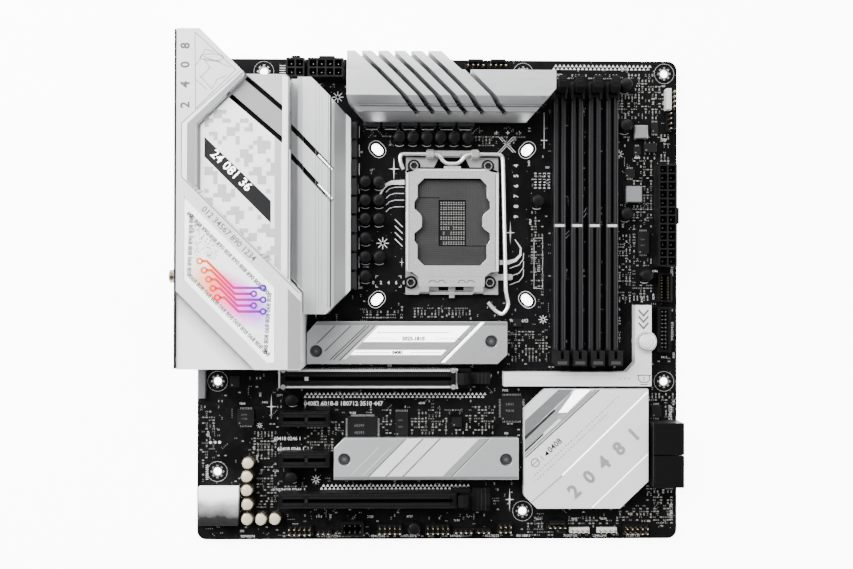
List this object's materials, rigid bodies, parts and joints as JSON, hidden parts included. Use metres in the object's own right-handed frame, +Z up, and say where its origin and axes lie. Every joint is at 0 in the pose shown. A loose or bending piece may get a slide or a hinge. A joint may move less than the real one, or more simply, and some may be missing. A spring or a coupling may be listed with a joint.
{
  "type": "motherboard",
  "caption": "White and silver on black micro-ATX motherboard with a hinged processor socket, swinging slot latches, finned heatsinks and a covered rear port panel.",
  "frame": {"origin": "middle of the bounding box in plan, on the plane the board lies on", "axes": "+X from the rear ports towards the drive ports, +Y from the board's lower edge towards the power sockets, +Z up out of the component side"},
  "size_m": [0.2538, 0.2504, 0.0445],
  "materials": {
    "board_black": "black solder mask with fine white print",
    "steel": "plain stamped steel",
    "bright_steel": "nickel-plated stamped steel",
    "dark_steel": "blackened steel",
    "silver_aluminium": "silver satin aluminium with fine brushing",
    "white_cover": "white satin moulding with a metallic look",
    "lit_window": "white translucent plate with a coloured emblem",
    "black_plastic": "black glass-filled moulding",
    "grey_plastic": "dark grey moulding",
    "contact_grey": "grey plastic with a grid of plated contacts",
    "silicon_black": "black chip package"
  },
  "bodies": {
    "board": {"antenna_posts": "bright_steel", "audio_jacks": "black_plastic", "audio_shield": "bright_steel", "chipset_heatsink": "silver_aluminium", "chipset_package": "silicon_black", "coin_cell": "bright_steel", "dimm_slot_1": "black_plastic", "dimm_slot_2": "black_plastic", "dimm_slot_3": "black_plastic", "dimm_slot_4": "black_plastic", "display_ports": "dark_steel", "io_shield": "dark_steel", "io_shroud": "white_cover", "lan_port": "steel", "m2_connector_lower": "black_plastic", "m2_connector_upper": "black_plastic", "m2_heatsink_lower": "silver_aluminium", "m2_heatsink_upper": "silver_aluminium", "m2_screw_1": "dark_steel", "m2_screw_2": "dark_steel", "m2_screw_3": "dark_steel", "m2_screw_4": "dark_steel", "pcb": "board_black", "pcie_x16_lower": "black_plastic", "pcie_x16_shield": "bright_steel", "pcie_x16_upper": "black_plastic", "pcie_x1_1": "black_plastic", "pcie_x1_2": "black_plastic", "power_24pin": "black_plastic", "power_4pin": "black_plastic", "power_8pin": "black_plastic", "release_rail": "white_cover", "sata_ports_1": "black_plastic", "sata_ports_2": "black_plastic", "shroud_window": "lit_window", "socket_backplate": "dark_steel", "socket_contacts": "contact_grey", "socket_frame": "steel", "socket_housing": "grey_plastic", "socket_screw_1": "dark_steel", "socket_screw_2": "dark_steel", "socket_screw_3": "dark_steel", "socket_screw_4": "dark_steel", "usb3_header": "black_plastic", "usb_ports": "steel", "vrm_heatsink_left": "silver_aluminium", "vrm_heatsink_top": "silver_aluminium"},
    "load_plate": {"load_plate": "bright_steel"},
    "load_lever": {"load_lever": "bright_steel"},
    "dimm_latch_1": {"dimm_latch_1": "black_plastic"},
    "dimm_latch_2": {"dimm_latch_2": "black_plastic"},
    "dimm_latch_3": {"dimm_latch_3": "black_plastic"},
    "dimm_latch_4": {"dimm_latch_4": "black_plastic"},
    "pcie_latch_upper": {"pcie_latch_upper": "black_plastic"},
    "pcie_latch_lower": {"pcie_latch_lower": "black_plastic"},
    "release_button": {"release_button": "white_cover"},
    "io_button_1": {"io_button_1": "black_plastic"},
    "io_button_2": {"io_button_2": "black_plastic"},
    "m2_latch_upper": {"m2_latch_upper": "grey_plastic"},
    "m2_latch_lower": {"m2_latch_lower": "grey_plastic"}
  },
  "joints": [
    {"name": "load_plate_hinge", "type": "hinge", "parent": "board", "child": "load_plate", "pos_m": [0.0114, 0.00095, 0.0079], "axis": [1, 0, 0], "range_deg": [0, 110]},
    {"name": "load_lever_hinge", "type": "hinge", "parent": "board", "child": "load_lever", "pos_m": [0.0116, 0.07015, 0.0088], "axis": [-1, 0, 0], "range_deg": [0, 112]},
    {"name": "dimm_latch_1_hinge", "type": "hinge", "parent": "board", "child": "dimm_latch_1", "pos_m": [0.0656, 0.10375, 0.0078], "axis": [-1, 0, 0], "range_deg": [0, 35]},
    {"name": "dimm_latch_2_hinge", "type": "hinge", "parent": "board", "child": "dimm_latch_2", "pos_m": [0.0745, 0.10375, 0.0078], "axis": [-1, 0, 0], "range_deg": [0, 35]},
    {"name": "dimm_latch_3_hinge", "type": "hinge", "parent": "board", "child": "dimm_latch_3", "pos_m": [0.0834, 0.10375, 0.0078], "axis": [-1, 0, 0], "range_deg": [0, 35]},
    {"name": "dimm_latch_4_hinge", "type": "hinge", "parent": "board", "child": "dimm_latch_4", "pos_m": [0.0923, 0.10375, 0.0078], "axis": [-1, 0, 0], "range_deg": [0, 35]},
    {"name": "release_button_slide", "type": "slide", "parent": "board", "child": "release_button", "axis": [0, 0, -1], "range_m": [0, 0.003], "stiffness_N_per_m": 250},
    {"name": "pcie_latch_upper_hinge", "type": "hinge", "parent": "board", "child": "pcie_latch_upper", "pos_m": [0.0178, -0.043, 0.0076], "axis": [0, 1, 0], "range_deg": [0, 20]},
    {"name": "pcie_latch_lower_hinge", "type": "hinge", "parent": "board", "child": "pcie_latch_lower", "pos_m": [0.0178, -0.10396, 0.0076], "axis": [0, 1, 0], "range_deg": [0, 20], "stiffness_Nm_per_rad": 0.02},
    {"name": "io_button_1_slide", "type": "slide", "parent": "board", "child": "io_button_1", "axis": [1, 0, 0], "range_m": [0, 0.0008], "stiffness_N_per_m": 400},
    {"name": "io_button_2_slide", "type": "slide", "parent": "board", "child": "io_button_2", "axis": [1, 0, 0], "range_m": [0, 0.0008], "stiffness_N_per_m": 400},
    {"name": "m2_latch_upper_hinge", "type": "hinge", "parent": "board", "child": "m2_latch_upper", "pos_m": [-0.0518, -0.02365, 0.006], "axis": [0, 0, 1], "range_deg": [0, 90]},
    {"name": "m2_latch_lower_hinge", "type": "hinge", "parent": "board", "child": "m2_latch_lower", "pos_m": [-0.0334, -0.08325, 0.006], "axis": [0, 0, 1], "range_deg": [0, 90]}
  ],
  "couplings": [
    {"joint": "pcie_latch_upper_hinge", "follows": "release_button_slide", "rad_per_m": 116}
  ]
}
